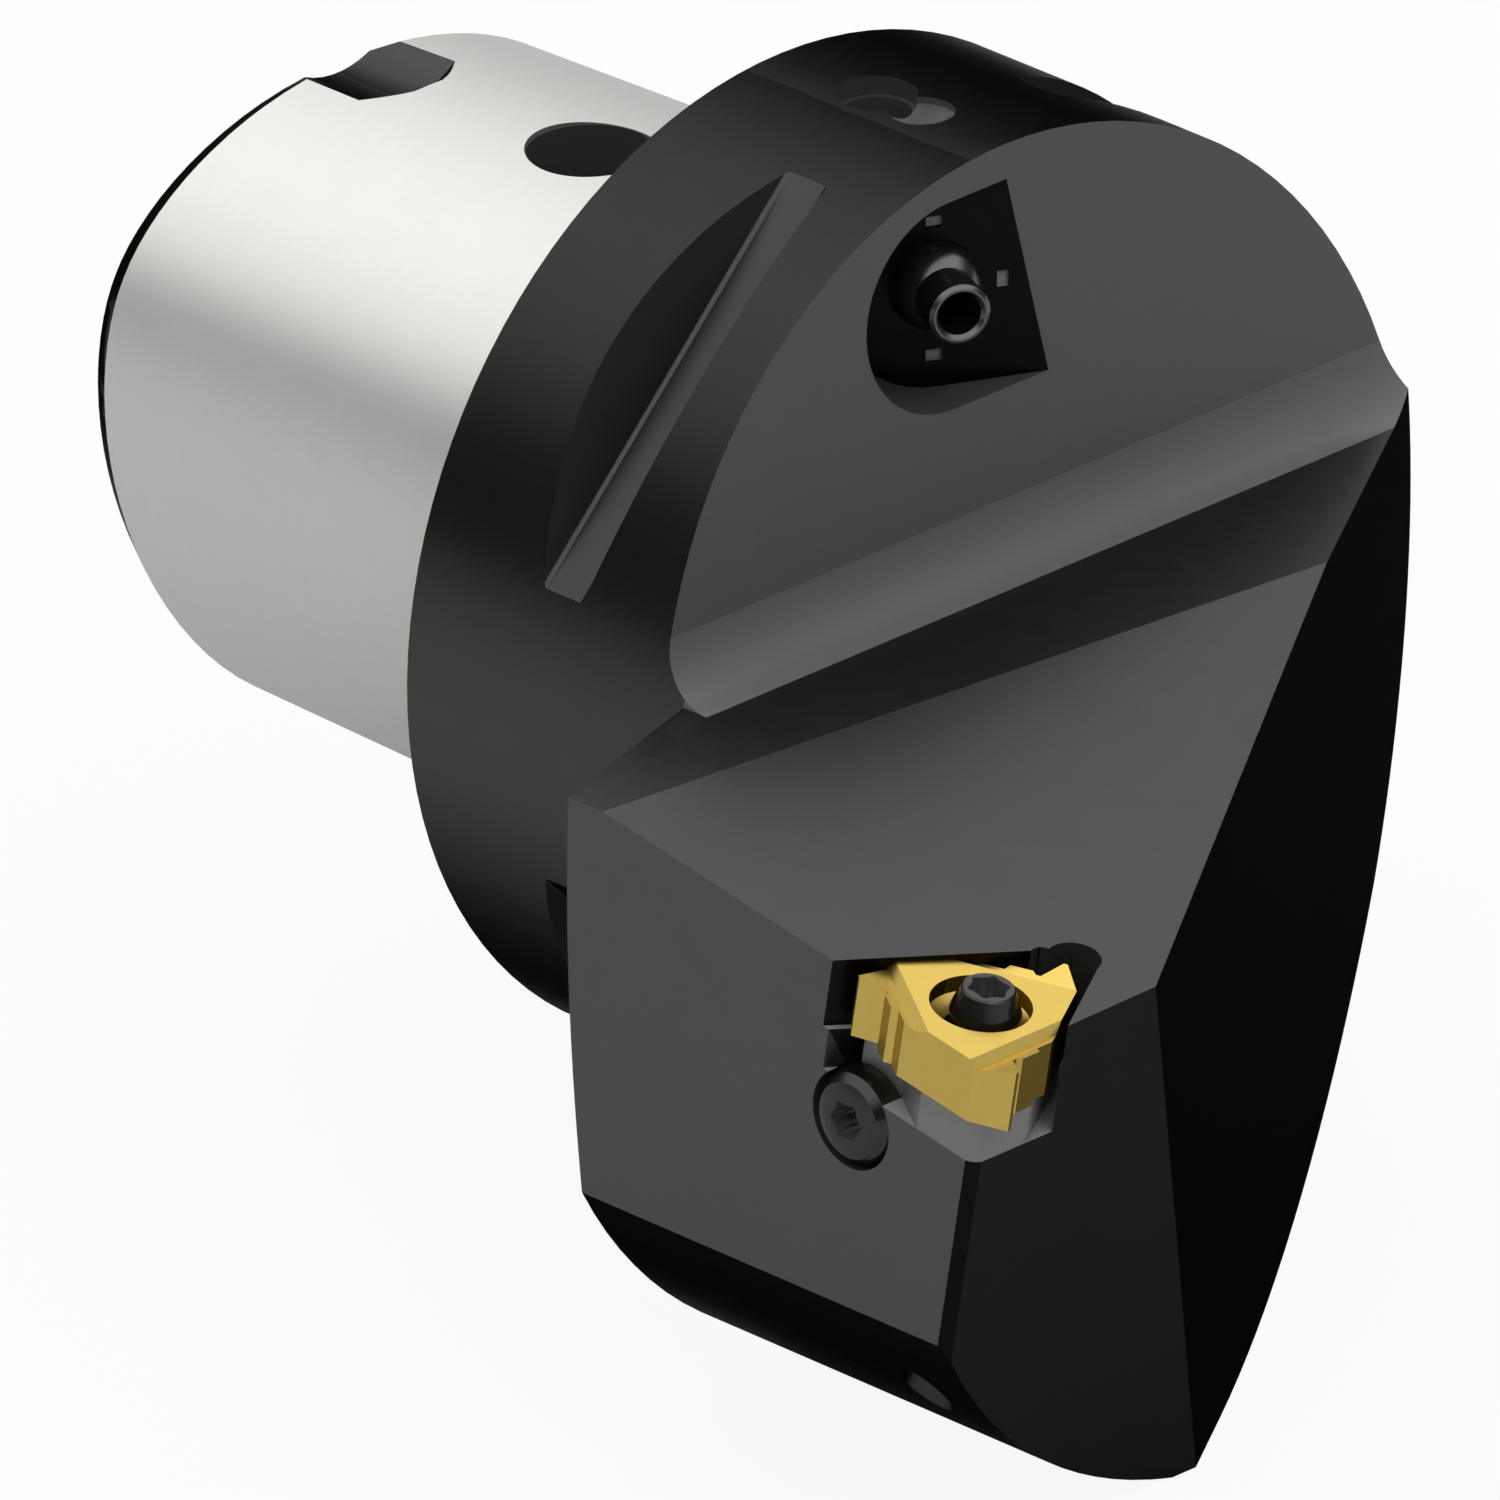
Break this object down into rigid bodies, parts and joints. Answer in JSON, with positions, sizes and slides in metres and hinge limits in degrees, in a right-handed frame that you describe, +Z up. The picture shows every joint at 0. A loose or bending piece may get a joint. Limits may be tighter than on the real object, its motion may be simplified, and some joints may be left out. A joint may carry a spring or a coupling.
{
  "type": "threading tool holder",
  "caption": "Indexable threading tool holder with a polygon taper shank, offset cutting head, screwed insert on a shim and a swivelling coolant nozzle.",
  "frame": {"origin": "centre of the flange's contact face on the tool axis", "axes": "+X from the shank towards the cutting end, +Z up out of the insert's cutting face side, +Y away from the insert"},
  "size_m": [0.1281, 0.0971, 0.0861],
  "materials": {
    "body": "black oxide, satin",
    "insert": "gold coating, satin",
    "shim": "ground",
    "screw": "black, satin",
    "nozzle": "black, satin"
  },
  "bodies": {
    "holder": {"tool_body": "body"},
    "shim": {"shim": "shim"},
    "insert": {"cutting_insert": "insert"},
    "insert_screw": {"insert_screw": "screw"},
    "shim_screw": {"shim_screw": "screw"},
    "nozzle": {"coolant_nozzle": "nozzle"}
  },
  "joints": [
    {"name": "shim_lift", "type": "slide", "parent": "holder", "child": "shim", "axis": [0.1736, 0, 0.9848], "range_m": [0, 0.012]},
    {"name": "insert_lift", "type": "slide", "parent": "shim", "child": "insert", "axis": [0.1736, 0, 0.9848], "range_m": [0, 0.012]},
    {"name": "insert_screw_out", "type": "slide", "parent": "insert", "child": "insert_screw", "axis": [0.1736, 0, 0.9848], "range_m": [0, 0.018]},
    {"name": "shim_screw_out", "type": "slide", "parent": "holder", "child": "shim_screw", "axis": [0, -1, 0], "range_m": [0, 0.012]},
    {"name": "nozzle_swivel", "type": "hinge", "parent": "holder", "child": "nozzle", "pos_m": [0.02153, -0.00528, 0.02939], "axis": [0, 0, 1], "range_deg": [-15, 15]}
  ]
}
